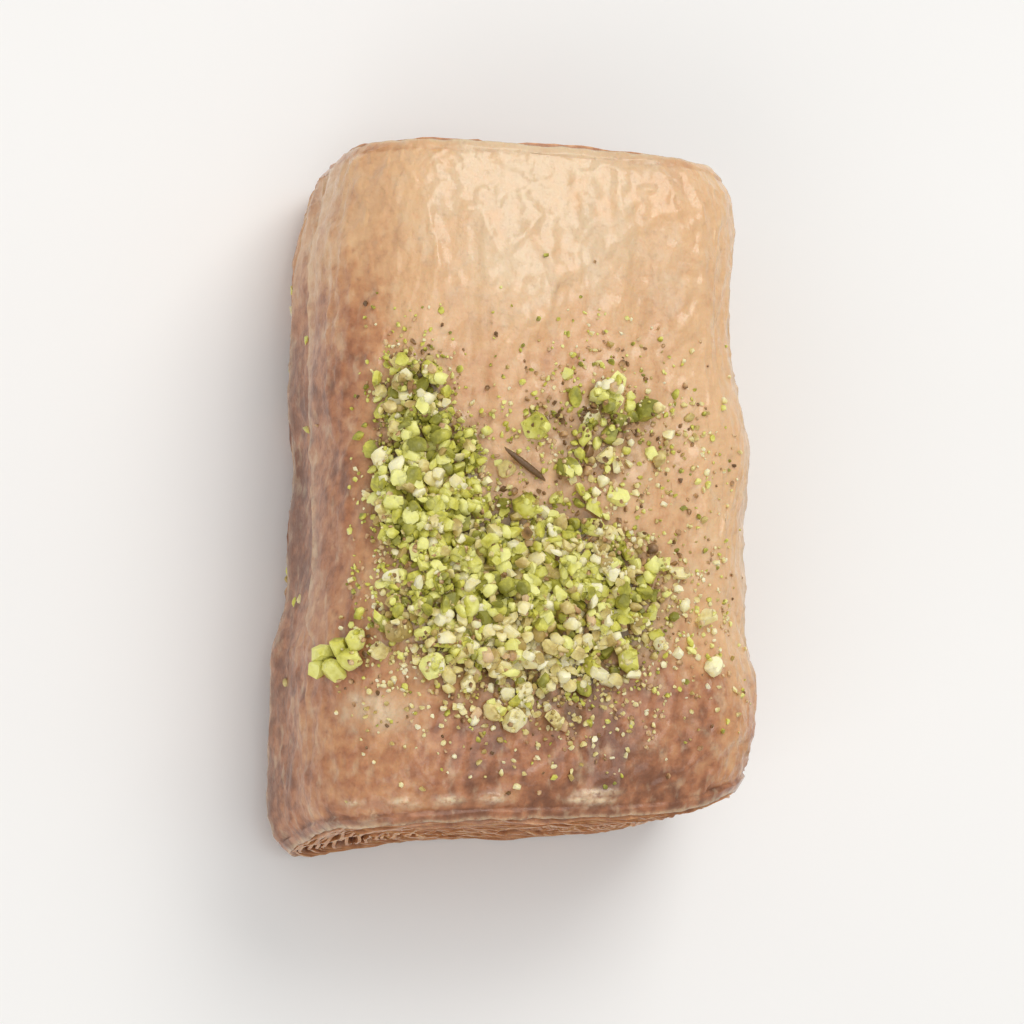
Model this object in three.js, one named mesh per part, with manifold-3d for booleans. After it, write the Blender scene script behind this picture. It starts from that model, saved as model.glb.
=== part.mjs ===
// One baklava piece: a parcel of thin filo sheets wrapped round a filling and cut to
// length, with ground pistachio sprinkled over its top.
//
// Millimetres, +Z up. The long side runs along Y and the front end looks along -Y.
// The origin is the centre of the footprint, on the surface that the piece rests on.
import * as THREE from "three";
import { mergeVertices } from "three/addons/utils/BufferGeometryUtils.js";
import Module from "manifold-3d";

const wasm = await Module();
wasm.setup();

// ---- Driving dimensions -------------------------------------------------------------

const PIECE_LENGTH = 52;
const PIECE_WIDTH = 34.4; // at mid length
const PASTRY_HEIGHT = 20.6;
const WIDEST_HEIGHT = 8.5; // height of the widest part of the sides
const FOOT_FLATTENING = 0.9; // how much of the rounded underside the tray pressed flat
const CROWN_FALL = { front: 1.1, back: 0.6 }; // how far the top falls from the middle to an end

// The parcel spreads towards its front end, and a little at both ends.
const FRONT_SPREAD = 0.8;
const END_SPREAD = 0.35;
// The front cut runs askew: its left corner lies further forward than its right one.
const FRONT_SKEW = 0.9;
// At the front the left corner sags outwards at its foot, and the right one sweeps back
// in a quarter ellipse, from a share of the half width to the side.
const CORNER_SAG = { depth: 1.5, outwards: 0.4, forwards: 0.7, from: 0.2, high: -0.6, low: 0.8 };
const CORNER_SWEEP = { depth: 5.2, from: 0.3, reach: 0.97 };
// A dent in the right side, towards the back.
const DENT = { depth: 1.0, at: 12, reach: 4.5 };
// Waves along the long sides, as heights and as radians for each millimetre.
const SIDE_WAVES = {
  slow: { height: 0.3, turn: 0.23 },
  quick: { height: 0.15, turn: 0.61 },
  phase: { left: 2.1, right: 0.6 },
};
const SIDE_SHARPNESS = 6; // how strictly the waves and the dent keep to the sides

// Long folds of the top sheet: how high they rise, and where they lie and reach to.
const FOLDS = [
  { height: -0.42, at: -6.5, lean: 0.1, breadth: 1.7, middle: 11, reach: 13 },
  { height: 0.4, at: 3.2, lean: -0.06, breadth: 1.8, middle: 7, reach: 16 },
  { height: -0.45, at: 9.6, lean: 0.14, breadth: 1.6, middle: 0, reach: 17 },
  { height: 0.35, at: -11.5, lean: 0.05, breadth: 1.7, middle: -8, reach: 16 },
];
// Shallow swells of the top, as heights and as radians for each millimetre.
const SWELLS = [
  { height: 0.3, across: 0.29, along: 0.16, phase: 1.1 },
  { height: 0.22, across: 0.12, along: -0.31, phase: 0.4 },
];

// Where the folds and swells fade out, on the cube: down the sides, and before the ends.
const TOP_FADE = { from: 0.2, to: 1, past: 1.06, breadth: 0.3 };

// Roundness exponents: 2 is an ellipse, and a large number is a box.
const TOP_ROUNDNESS = 3.8; // across the top, between the long sides
const FOOT_ROUNDNESS = 5;
const ROUNDNESS_TURN = { from: -0.35, to: 0.95 }; // where the foot's turns into the top's
const END_ROUNDNESS = 10; // where the top and the sides turn into the cut ends
const END_CUT = 0.965; // what share of the rounded form's length the flat cuts leave

// The outer sheets stop at a rim on each cut end. Inside it the cut layers stand back, in
// rings that lie round the roll.
const RIM_RINGS = 1; // rings of cells that the rim takes up
const RIM_WAVE = 0.15;
const RIM_RECESS = 0.5;
const LAYER_DEPTH = 0.3; // half the depth of the ridges of the cut layers
const LAYER_WAVE = { across: 5.3, up: 2.1, share: 0.4 }; // makes the ridges uneven

// Mesh density of the pastry: cells across and up, which are alike, and along.
const CELLS_ROUND = 16;
const CELLS_ALONG = 20;
const EDGE_CROWDING = 1.2; // draws the cells together towards the edges

// Ground pistachio, which varies in size, in stretch and in how far its corners stand out.
const CRUMB_COUNT = 160;
const CRUMB_RADIUS = { largest: 1.2, smallest: 0.6 };
const CRUMB_FINENESS = 0.6; // below 1 there are more small crumbs than large ones
const CRUMB_STRETCH = { least: 0.78, most: 1.2 };
const CRUMB_CORNER = { least: 0.82, most: 1.12 };
const CRUMB_RISE = 0.42; // how far a crumb's centre lies above the pastry, in radii
const CRUMB_SPACING = 0.74; // least distance of two crumbs, as a share of their radii's sum
const CRUMB_TRIALS = 9000;
const SPRINKLE_SHARPNESS = 3; // how steeply the pistachio thins out round a heap
const SPRINKLED_ACROSS = 1.1; // share of the top's half width that crumbs fall on
const SPRINKLED_ALONG = 0.92; // share of the half length
const SHOULDER_FALL = 2.5; // how steeply crumbs past the top's edge lie down the side
const CRUMB_SEED = 4711;
// Two large crumbs that stick together on the left shoulder, by their places on the cube.
const SHOULDER_CRUMBS = [
  { across: -1, along: -0.48, up: 0.76, radius: 1.15 },
  { across: -1, along: -0.53, up: 0.64, radius: 1 },
];

const MERGE_DISTANCE = 1e-4; // corners nearer than this are one

const PASTRY_COLOUR = 0xd9ac78; // golden filo under syrup
const PASTRY_ROUGHNESS = 0.42;

// ---- Helpers ------------------------------------------------------------------------

const mix = (from, to, share) => from + (to - from) * share;

/** Park-Miller draw: the same numbers from 0 to 1 on every run. */
function seededDraw(seed) {
  let state = seed;
  return () => {
    state = (state * 16807) % 2147483647;
    return state / 2147483647;
  };
}

/** Draws a place from -1 to 1 towards the nearer edge. */
const crowd = (place) => Math.sin(EDGE_CROWDING * place) / Math.sin(EDGE_CROWDING);

/** Soft hill of height 1 round a centre, with its own reach along each direction. */
function hill(across, along, centreAcross, centreAlong, reachAcross, reachAlong) {
  const a = (across - centreAcross) / reachAcross;
  const b = (along - centreAlong) / reachAlong;
  return Math.exp(-(a * a + b * b));
}

// ---- The pastry's surface -----------------------------------------------------------

/** Long folds and shallow swells of the top sheet, in millimetres, at a plan position. */
function topRelief(x, y) {
  const swells = SWELLS.map(
    ({ height, across, along, phase }) => height * Math.sin(across * x + along * y + phase),
  );
  const folds = FOLDS.map(
    ({ height, at, lean, breadth, middle, reach }) =>
      height * hill(x + lean * y, y, at, middle, breadth, reach),
  );
  return [...swells, ...folds].reduce((sum, height) => sum + height, 0);
}

/** How far a long side waves outwards, in millimetres, at a place along it. */
function sideWave(across, y) {
  const { slow, quick, phase } = SIDE_WAVES;
  const start = across > 0 ? phase.right : phase.left;
  return slow.height * Math.sin(slow.turn * y + start) + quick.height * Math.sin(quick.turn * y);
}

/**
 * How far a cut end stands out (plus) or back (minus) at a cell corner, which is given by
 * its place from -1 to 1 across and up. Every second ring of cells is a ridge.
 */
function endRelief(across, up) {
  const ring = Math.round((1 - Math.max(Math.abs(across), Math.abs(up))) * (CELLS_ROUND / 2));
  if (ring === 0) return 0;
  const wave = Math.sin(LAYER_WAVE.across * across + LAYER_WAVE.up * up);
  if (ring <= RIM_RINGS) return RIM_WAVE * wave;
  const side = ring % 2 === 0 ? 1 : -1;
  return side * LAYER_DEPTH * (1 + LAYER_WAVE.share * wave) - RIM_RECESS;
}

/**
 * Maps a point of the cube from -1 to 1 onto the pastry's skin.
 * across runs from the left side to the right, along from the front end to the back,
 * and up from the foot to the top.
 */
function pastryPoint(across, along, up) {
  const { smoothstep } = THREE.MathUtils;
  const ring = Math.max(Math.abs(across), Math.abs(up));
  const topness = smoothstep(up / (ring || 1), ROUNDNESS_TURN.from, ROUNDNESS_TURN.to);
  const roundness = mix(FOOT_ROUNDNESS, TOP_ROUNDNESS, topness);
  const girth = (Math.abs(across) ** roundness + Math.abs(up) ** roundness) ** (1 / roundness);
  const rounding = ring / (girth || 1); // 1 on the section's axes, and least at its corners
  const shrink = (ring ** END_ROUNDNESS + Math.abs(along) ** END_ROUNDNESS) ** (-1 / END_ROUNDNESS);

  const halfWidth = PIECE_WIDTH / 2 + END_SPREAD * along * along - FRONT_SPREAD * along;
  const crownFall = (along < 0 ? CROWN_FALL.front : CROWN_FALL.back) * along * along;
  const halfHeight =
    up > 0 ? PASTRY_HEIGHT - crownFall - WIDEST_HEIGHT : WIDEST_HEIGHT + FOOT_FLATTENING;
  const halfLength = PIECE_LENGTH / 2;
  const uncutY = (halfLength / END_CUT) * along * shrink;
  const point = new THREE.Vector3(
    halfWidth * across * rounding * shrink,
    THREE.MathUtils.clamp(uncutY, -halfLength, halfLength),
    WIDEST_HEIGHT + halfHeight * up * rounding * shrink,
  );

  // Long sides: slow waves, and the dent.
  const sideShare = Math.abs(across) ** SIDE_SHARPNESS;
  point.x += sideShare * sideWave(across, point.y);
  if (across > 0) point.x -= sideShare * DENT.depth * hill(0, point.y, 0, DENT.at, 1, DENT.reach);

  // The front cut's skew and its corners.
  const frontShare = smoothstep(-along, 0, 1);
  point.y += frontShare * FRONT_SKEW * across;
  if (across < 0) {
    const { depth, outwards, forwards, from, high, low } = CORNER_SAG;
    const cornerShare = frontShare * smoothstep(-across, from, 1);
    const sag = depth * cornerShare * smoothstep(-up, high, low);
    point.x -= outwards * sag;
    point.y -= forwards * sag;
  } else {
    const { depth, from, reach } = CORNER_SWEEP;
    const turn = reach * THREE.MathUtils.clamp((point.x / halfWidth - from) / (1 - from), 0, 1);
    point.y += frontShare * depth * (1 - Math.sqrt(1 - turn * turn));
  }

  // Top: folds and swells, which fade out down the sides.
  const { from, to, past, breadth } = TOP_FADE;
  const topShare = smoothstep(up, from, to) * smoothstep(past - Math.abs(along), 0, breadth);
  point.z += topShare * topRelief(point.x, point.y);

  point.z = Math.max(point.z, 0);
  return point;
}

/** Closed three.js geometry of the pastry. */
function pastryGeometry() {
  const cube = new THREE.BoxGeometry(2, 2, 2, CELLS_ROUND, CELLS_ALONG, CELLS_ROUND);
  const position = cube.getAttribute("position");
  for (let i = 0; i < position.count; i += 1) {
    const cell = new THREE.Vector3().fromBufferAttribute(position, i);
    const point = pastryPoint(crowd(cell.x), crowd(cell.y), crowd(cell.z));
    if (Math.abs(cell.y) === 1) point.y += cell.y * endRelief(cell.x, cell.z);
    position.setXYZ(i, point.x, point.y, point.z);
  }
  return cube;
}

// ---- Ground pistachio ---------------------------------------------------------------

/**
 * Where the pistachio fell, in millimetres on the top: a broad heap towards the front, a
 * trail from it to the back left, a thin scatter behind it, and a few strays.
 */
const SPRINKLES = [
  { x: -2.8, y: -9.8, reachX: 9.5, reachY: 6.6, share: 1.4 },
  { x: -10.2, y: -2, reachX: 4.2, reachY: 5.8, share: 1.3 },
  { x: -11.4, y: 4.4, reachX: 2.8, reachY: 4.2, share: 0.95 },
  { x: 3.2, y: 6.2, reachX: 1.2, reachY: 1.1, share: 1.3 },
  { x: 2.5, y: 2.6, reachX: 7, reachY: 5.5, share: 0.46 },
  { x: -3, y: -17.4, reachX: 9, reachY: 2.8, share: 0.45 },
];

/** How thickly the pistachio lies at a place on the top, from 0 to 1. */
function sprinkle(x, y) {
  const heights = SPRINKLES.map(
    ({ x: atX, y: atY, reachX, reachY, share }) => share * hill(x, y, atX, atY, reachX, reachY),
  );
  return Math.min(1, Math.max(...heights));
}

/** The place of a crumb on the top or, with across past -1 or 1, down its shoulder. */
function crumbSpot(across, along) {
  const past = Math.max(0, Math.abs(across) - 1);
  return pastryPoint(THREE.MathUtils.clamp(across, -1, 1), along, 1 - SHOULDER_FALL * past);
}

/** Places and sizes of the crumbs, largest first, spread by the sprinkle's rule. */
function crumbPlaces() {
  const draw = seededDraw(CRUMB_SEED);
  const places = [];
  for (let trial = 0; places.length < CRUMB_COUNT && trial < CRUMB_TRIALS; trial += 1) {
    const across = SPRINKLED_ACROSS * mix(-1, 1, draw());
    const along = SPRINKLED_ALONG * mix(-1, 1, draw());
    const spot = crumbSpot(across, along);
    const wanted = draw() < sprinkle(spot.x, spot.y) ** SPRINKLE_SHARPNESS;
    const { largest, smallest } = CRUMB_RADIUS;
    const radius = mix(largest, smallest, (places.length / CRUMB_COUNT) ** CRUMB_FINENESS);
    const apart = (other) =>
      other.spot.distanceTo(spot) > CRUMB_SPACING * (other.radius + radius);
    if (wanted && places.every(apart)) places.push({ spot, radius });
  }
  const shoulder = SHOULDER_CRUMBS.map(({ across, along, up, radius }) => {
    return { spot: pastryPoint(across, along, up), radius };
  });
  return places.concat(shoulder);
}

/** One angular crumb: an icosahedron, stretched, with its corners pushed in and out. */
function crumbGeometry({ spot, radius }, draw) {
  const crumb = closed(new THREE.IcosahedronGeometry(radius, 0));
  const { least, most } = CRUMB_STRETCH;
  const stretches = [draw(), draw(), draw()].map((share) => mix(least, most, share));
  const stretch = new THREE.Vector3(...stretches);
  const turn = new THREE.Euler(draw() * Math.PI, draw() * Math.PI, draw() * Math.PI);
  const rise = new THREE.Vector3(0, 0, radius * CRUMB_RISE);
  const position = crumb.getAttribute("position");
  for (let i = 0; i < position.count; i += 1) {
    const corner = new THREE.Vector3().fromBufferAttribute(position, i);
    corner.multiplyScalar(mix(CRUMB_CORNER.least, CRUMB_CORNER.most, draw()));
    corner.applyEuler(turn).multiply(stretch).add(spot).add(rise);
    position.setXYZ(i, corner.x, corner.y, corner.z);
  }
  return crumb;
}

// ---- Solids -------------------------------------------------------------------------

/** Geometry with positions alone and its shared corners merged. */
function closed(geometry) {
  const bare = geometry.clone();
  bare.deleteAttribute("normal");
  bare.deleteAttribute("uv");
  return mergeVertices(bare, MERGE_DISTANCE);
}

function toSolid(geometry) {
  const bare = closed(geometry);
  const mesh = new wasm.Mesh({
    numProp: 3,
    vertProperties: bare.getAttribute("position").array,
    triVerts: new Uint32Array(bare.index.array),
  });
  return new wasm.Manifold(mesh);
}

function toGeometry(solid) {
  const mesh = solid.getMesh();
  const geometry = new THREE.BufferGeometry();
  geometry.setAttribute("position", new THREE.BufferAttribute(mesh.vertProperties, 3));
  geometry.setIndex(new THREE.BufferAttribute(mesh.triVerts, 1));
  geometry.computeVertexNormals();
  return geometry;
}

/** Moves a geometry so that its box stands on the ground, centred on the origin. */
function centre(geometry) {
  geometry.computeBoundingBox();
  const middle = geometry.boundingBox.getCenter(new THREE.Vector3());
  return geometry.translate(-middle.x, -middle.y, -geometry.boundingBox.min.z);
}

/** The parcel with its crumbs stuck on, as one solid. */
function baklavaPiece() {
  const draw = seededDraw(CRUMB_SEED + 1);
  const solid = crumbPlaces().reduce(
    (joined, place) => joined.add(toSolid(crumbGeometry(place, draw))),
    toSolid(pastryGeometry()),
  );
  const material = new THREE.MeshStandardMaterial({
    color: PASTRY_COLOUR,
    roughness: PASTRY_ROUGHNESS,
    metalness: 0,
  });
  const mesh = new THREE.Mesh(centre(toGeometry(solid)), material);
  mesh.name = "pastry";
  return mesh;
}

const piece = new THREE.Group();
piece.add(baklavaPiece());

export default piece;
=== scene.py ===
"""Dresses one baklava piece: rolled filo with cut ends, syrup gloss and ground pistachio.

Sizes are millimetres unless a name says otherwise. Meshes are made in metres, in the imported
part's frame: +Y along the piece, +X to the right, +Z up, and the origin at the centre of
the footprint.
"""
import logging
import math
from dataclasses import dataclass, field
from enum import Enum

import bpy
import numpy as np
from mathutils import Euler, Matrix, Vector, noise
from mathutils.bvhtree import BVHTree


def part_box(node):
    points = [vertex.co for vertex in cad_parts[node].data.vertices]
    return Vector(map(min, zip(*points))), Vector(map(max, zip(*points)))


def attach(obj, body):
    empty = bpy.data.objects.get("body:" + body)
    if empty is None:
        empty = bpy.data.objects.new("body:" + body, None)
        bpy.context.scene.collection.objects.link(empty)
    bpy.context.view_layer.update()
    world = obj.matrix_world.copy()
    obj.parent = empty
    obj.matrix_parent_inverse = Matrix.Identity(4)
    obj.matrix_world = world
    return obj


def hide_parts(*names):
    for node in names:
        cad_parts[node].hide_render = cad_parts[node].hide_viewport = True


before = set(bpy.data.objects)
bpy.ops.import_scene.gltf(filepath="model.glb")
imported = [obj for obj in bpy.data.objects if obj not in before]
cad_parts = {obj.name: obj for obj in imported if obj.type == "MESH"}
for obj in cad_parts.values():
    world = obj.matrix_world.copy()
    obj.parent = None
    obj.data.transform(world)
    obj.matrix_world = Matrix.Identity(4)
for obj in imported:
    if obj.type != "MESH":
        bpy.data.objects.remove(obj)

LOG = logging.getLogger("baklava")
MM = 0.001
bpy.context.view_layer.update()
Triple = tuple[float, float, float]
Colour = Triple
Pair = tuple[np.ndarray, np.ndarray]


# ---- Plain maths ------------------------------------------------------------------------


def mix(start: float, stop: float, share: float) -> float:
    """Returns the value at a share of the way from start to stop."""
    return start + (stop - start) * share


def smoothstep(value: np.ndarray | float, low: float, high: float) -> np.ndarray:
    """Rises softly from 0 at low to 1 at high."""
    share = np.clip((np.asarray(value, dtype=float) - low) / (high - low), 0.0, 1.0)
    return share * share * (3.0 - 2.0 * share)


def hill(a: np.ndarray | float, b: np.ndarray | float) -> np.ndarray:
    """A soft hill of height 1 where a and b are both 0."""
    return np.exp(-(np.square(a) + np.square(b)))


def lumps(points: np.ndarray, size: Triple, octaves: int, seed: int) -> np.ndarray:
    """Fractal noise, from about -1 to 1.

    Args:
        points: places in millimetres, one row each.
        size: how long a lump is along X, Y and Z.
        octaves: how many finer layers are added.
        seed: picks another pattern.

    Returns:
        One value for each point.
    """
    scaled = points / np.array(size) + np.array((seed * 3.7, -seed * 5.1, seed * 7.3))
    return np.array([noise.fractal(Vector(p), 1.0, 2.0, octaves) for p in scaled])


def ridges(pattern: np.ndarray, narrowness: float, sharpness: int) -> np.ndarray:
    """Turns noise into ridges of height 1 along the lines where it is 0."""
    return np.maximum(1 - narrowness * abs(pattern), 0.0) ** sharpness


def linear(red: int, green: int, blue: int) -> Colour:
    """Turns a screen colour of 0 to 255 into the shader's linear light."""
    shares = [channel / 255 for channel in (red, green, blue)]
    return tuple(s / 12.92 if s <= 0.04045 else ((s + 0.055) / 1.055) ** 2.4 for s in shares)


class Draw:
    """Park-Miller draws: the same numbers from 0 to 1 on every run."""

    MODULUS = 2147483647
    FACTOR = 16807

    def __init__(self, seed: int) -> None:
        """Starts the draws from a seed."""
        self.state = seed

    def __call__(self) -> float:
        """Returns the next number from 0 to 1."""
        self.state = self.state * self.FACTOR % self.MODULUS
        return self.state / self.MODULUS

    def between(self, low: float, high: float) -> float:
        """Returns the next number from low to high."""
        return mix(low, high, self())


# ---- Shader maths -----------------------------------------------------------------------


class Wire:
    """One shader output. Arithmetic on it adds Math nodes."""

    def __init__(self, graph: "Graph", socket: bpy.types.NodeSocket | None) -> None:
        """Wraps a socket of a graph. The graph's last node has none."""
        self.graph = graph
        self.socket = socket

    def _math(self, operation: str, first: "Wire | float", second: "Wire | float") -> "Wire":
        """Adds one Math node."""
        settings = {"operation": operation}
        return self.graph.node("ShaderNodeMath", settings, {0: first, 1: second})

    def __add__(self, other: "Wire | float") -> "Wire":
        """Returns self + other."""
        return self._math("ADD", self, other)

    def __radd__(self, other: float) -> "Wire":
        """Returns other + self."""
        return self._math("ADD", other, self)

    def __sub__(self, other: "Wire | float") -> "Wire":
        """Returns self - other."""
        return self._math("SUBTRACT", self, other)

    def __mul__(self, other: "Wire | float") -> "Wire":
        """Returns self * other."""
        return self._math("MULTIPLY", self, other)

    def __rmul__(self, other: float) -> "Wire":
        """Returns other * self."""
        return self._math("MULTIPLY", other, self)

    def spread(self, low: float, high: float) -> "Wire":
        """Stretches the values from low to high over 0 to 1, and clamps them.

        Args:
            low: what becomes 0.
            high: what becomes 1.

        Returns:
            The stretched values.
        """
        inputs = {"Value": self, "From Min": low, "From Max": high}
        settings = {"clamp": True, "interpolation_type": "SMOOTHSTEP"}
        return self.graph.node("ShaderNodeMapRange", settings, inputs)


class Graph:
    """A material's node tree, built call by call."""

    def __init__(self, name: str) -> None:
        """Makes an empty material.

        Args:
            name: the material's name.
        """
        self.material = bpy.data.materials.new(name)
        self.material.use_nodes = True
        self.tree = self.material.node_tree
        self.tree.nodes.clear()

    def node(
        self,
        kind: str,
        settings: dict | None = None,
        inputs: dict | None = None,
        output: int | str = 0,
    ) -> Wire:
        """Adds a node.

        Args:
            kind: the node's type name.
            settings: its own settings, set first; "stops" are a ramp's (place, colour) pairs.
            inputs: values or wires by socket name or number.
            output: which output to return.

        Returns:
            The chosen output.
        """
        made = self.tree.nodes.new(kind)
        for name, value in (settings or {}).items():
            if name == "stops":
                self._set_stops(made.color_ramp, value)
            else:
                setattr(made, name, value)
        for name, value in (inputs or {}).items():
            if isinstance(value, Wire):
                self.tree.links.new(value.socket, made.inputs[name])
            else:
                made.inputs[name].default_value = value
        return Wire(self, made.outputs[output] if made.outputs else None)

    @staticmethod
    def _set_stops(ramp: bpy.types.ColorRamp, stops: list[tuple[float, Colour]]) -> None:
        """Gives a colour ramp its stops.

        Args:
            ramp: the colour ramp.
            stops: its places and colours.
        """
        while len(ramp.elements) < len(stops):
            ramp.elements.new(1.0)
        for element, (place, colour) in zip(ramp.elements, stops):
            element.position = place
            element.color = (*colour, 1.0)

    def place(self, stretch: Triple) -> Wire:
        """Adds object coordinates in millimetres.

        Args:
            stretch: how much longer a pattern gets along X, Y and Z.

        Returns:
            The coordinates.
        """
        coordinates = self.node("ShaderNodeTexCoord", output="Object")
        scale = tuple(1.0 / (MM * share) for share in stretch)
        return self.node("ShaderNodeMapping", None, {"Vector": coordinates, "Scale": scale})

    def clouds(self, size: float, detail: float = 3.0, stretch: Triple = (1, 1, 1)) -> Wire:
        """Returns noise from 0 to 1 with lumps of a size in millimetres."""
        inputs = {"Vector": self.place(stretch), "Scale": 1.0 / size, "Detail": detail}
        return self.node("ShaderNodeTexNoise", None, inputs, "Fac")

    def crinkles(self, size: float, stretch: Triple) -> Wire:
        """Adds sharp branching ridges, as of crumpled paper.

        Args:
            size: their size in millimetres.
            stretch: how much longer along X, Y and Z.

        Returns:
            Their height, from 0 to 1.
        """
        settings = {"noise_type": "RIDGED_MULTIFRACTAL", "normalize": True}
        inputs = {"Vector": self.place(stretch), "Scale": 1.0 / size}
        inputs |= {"Detail": 3.0, "Distortion": 0.4}
        return self.node("ShaderNodeTexNoise", settings, inputs, "Fac")

    def attribute(self, name: str) -> Wire:
        """Returns a number that is stored on the mesh."""
        return self.node("ShaderNodeAttribute", {"attribute_name": name}, output="Fac")

    def blend(self, first: Wire | Colour, second: Wire | Colour, share: Wire | float) -> Wire:
        """Mixes two colours.

        Args:
            first: the colour at share 0.
            second: the colour at share 1.
            share: how much of the second.

        Returns:
            The mixed colour.
        """
        ends = [c if isinstance(c, Wire) else (*c, 1.0) for c in (first, second)]
        inputs = {0: share, 6: ends[0], 7: ends[1]}
        return self.node("ShaderNodeMix", {"data_type": "RGBA"}, inputs, 2)

    def ramp(self, value: Wire, stops: list[tuple[float, Colour]]) -> Wire:
        """Turns a value into a colour by the stops of a ramp."""
        return self.node("ShaderNodeValToRGB", {"stops": stops}, {"Fac": value})

    def bump(self, height: Wire, distance: float, under: Wire | None = None) -> Wire:
        """Bends the normal by a height.

        Args:
            height: from 0 to 1.
            distance: what 1 stands for, in millimetres.
            under: a normal that is already bent.

        Returns:
            The bent normal.
        """
        inputs = {"Height": height, "Distance": distance * MM, "Strength": 1.0}
        if under is not None:
            inputs["Normal"] = under
        return self.node("ShaderNodeBump", None, inputs)

    def finish(self, inputs: dict) -> bpy.types.Material:
        """Ends the graph in a Principled shader.

        Args:
            inputs: values or wires by socket name.

        Returns:
            The material.
        """
        shader = self.node("ShaderNodeBsdfPrincipled", None, inputs)
        self.node("ShaderNodeOutputMaterial", None, {"Surface": shader})
        return self.material


# ---- Finishes ---------------------------------------------------------------------------


@dataclass(frozen=True)
class Gloss:
    """How light sinks into a finish, and how its wet coat shines."""

    sinking: float
    tint: Triple
    depth: float
    coat: float
    coat_roughness: float
    refraction: float = 1.48

    def inputs(self) -> dict:
        """Returns the shader's inputs. They are the same all over the surface."""
        return {
            "Subsurface Weight": self.sinking,
            "Subsurface Radius": self.tint,
            "Subsurface Scale": self.depth * MM,
            "Coat Weight": self.coat,
            "Coat Roughness": self.coat_roughness,
            "IOR": self.refraction,
        }


# How far red, green and blue light sink into soaked filo, as shares.
WARM = (1.0, 0.5, 0.22)


@dataclass(frozen=True)
class FiloFinish:
    """Baked filo under syrup: golden, creamy with a painted sheen, browner with toast and painted
    shade.
    """

    name: str = "filo_finish"
    gloss: Gloss = Gloss(0.2, WARM, 1.4, 0.66, 0.15)
    gold: Colour = linear(226, 183, 137)
    cream: Colour = linear(226, 200, 164)
    amber: Colour = linear(204, 149, 103)
    russet: Colour = linear(174, 114, 76)
    umber: Colour = linear(120, 72, 44)
    # Olive under the heaps: nut dust, and painted shade in the gaps between the grains.
    dusted_and_shaded: Colour = linear(118, 96, 48)
    roughness: float = 0.34

    def material(self) -> bpy.types.Material:
        """Returns the material. The mesh carries toast, pale, dust, cut and edge."""
        graph = Graph(self.name)
        toast_and_shade = graph.attribute("toast_and_shade")
        dust_and_shade = graph.attribute("dust_and_shade")
        patches = graph.clouds(6.0, 3.0)
        streaks = graph.clouds(1.7, 4.0, (1.0, 3.2, 1.0))
        mottle = graph.clouds(0.9, 3.0)
        specks = graph.clouds(0.4, 2.0)
        # Cream flecks: painted glints, like those of crinkled filo.
        flecks = graph.clouds(1.1, 3.0, (1.0, 1.7, 1.0)).spread(0.53, 0.72)
        crinkles = graph.crinkles(1.9, (1.0, 1.5, 1.0))
        uneven = (patches - 0.5) * 0.6 + (streaks - 0.5) * 0.6
        uneven = uneven + (mottle - 0.5) * 0.9 + (crinkles - 0.5) * 0.4

        browns = [(0.0, self.gold), (0.4, self.amber), (0.75, self.russet), (1.0, self.umber)]
        skin = graph.ramp((toast_and_shade + uneven * 0.85).spread(-0.1, 1.1), browns)
        # Cream: partly the skin's own, and partly painted sheen towards the back.
        cream_and_sheen = (graph.attribute("pale") + uneven * 0.9).spread(0.25, 0.95)
        burnt = (specks * 0.6 + mottle * 0.4).spread(0.54, 0.72) * (toast_and_shade * 0.35 + 0.06)
        # Pale torn edges and rims, and painted highlights on the blisters.
        edges_and_glints = graph.attribute("edge") * (specks * 1.2).spread(0.2, 0.75)
        coats = (
            (self.cream, cream_and_sheen * 0.85),
            (self.cream, flecks * 0.34),
            (self.umber, burnt),
            # Nut dust, with painted shade between the grains.
            (self.dusted_and_shaded, dust_and_shade * mottle.spread(0.2, 0.55)),
            # Painted shade on the recessed floor of the ends, inside the rim.
            (self.russet, graph.attribute("cut") * 0.7),
            (self.cream, edges_and_glints),
        )
        for colour, share in coats:
            skin = graph.blend(skin, colour, share)

        normal = graph.bump(mottle, 0.2)
        normal = graph.bump(crinkles, 0.14, normal)
        normal = graph.bump(graph.clouds(0.45, 4.0, (1.0, 1.4, 1.0)), 0.12, normal)
        roughness = self.roughness + 0.3 * mottle + 0.15 * dust_and_shade
        return graph.finish(
            {"Base Color": skin, "Roughness": roughness, "Normal": normal, **self.gloss.inputs()}
        )


@dataclass(frozen=True)
class LeafFinish:
    """The cut sheets at the ends: dark at the root, soaked and in painted shade, and pale along the
    cut.
    """

    # Dark at the root: soaked, and painted shade deep between the leaves.
    root: Colour = linear(138, 86, 52)
    soaked: Colour = linear(194, 136, 90)
    cut: Colour = linear(234, 192, 140)
    gloss: Gloss = Gloss(0.2, WARM, 0.8, 0.5, 0.18)
    roughness: float = 0.3

    def material(self) -> bpy.types.Material:
        """Returns the material. The mesh carries reach, from root to cut, and shade."""
        graph = Graph("leaf_finish")
        mottle = graph.clouds(0.8, 3.0)
        reach = graph.attribute("reach")
        shade = graph.attribute("shade")
        tone = (reach * 0.75 + (mottle - 0.5) * 0.9 + (shade - 0.5) * 0.5).spread(0.0, 1.0)
        colour = graph.ramp(tone, [(0.0, self.root), (0.5, self.soaked), (1.0, self.cut)])
        roughness = self.roughness + 0.3 * mottle
        normal = graph.bump(graph.clouds(0.35, 3.0), 0.08)
        return graph.finish(
            {"Base Color": colour, "Roughness": roughness, "Normal": normal, **self.gloss.inputs()}
        )


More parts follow.
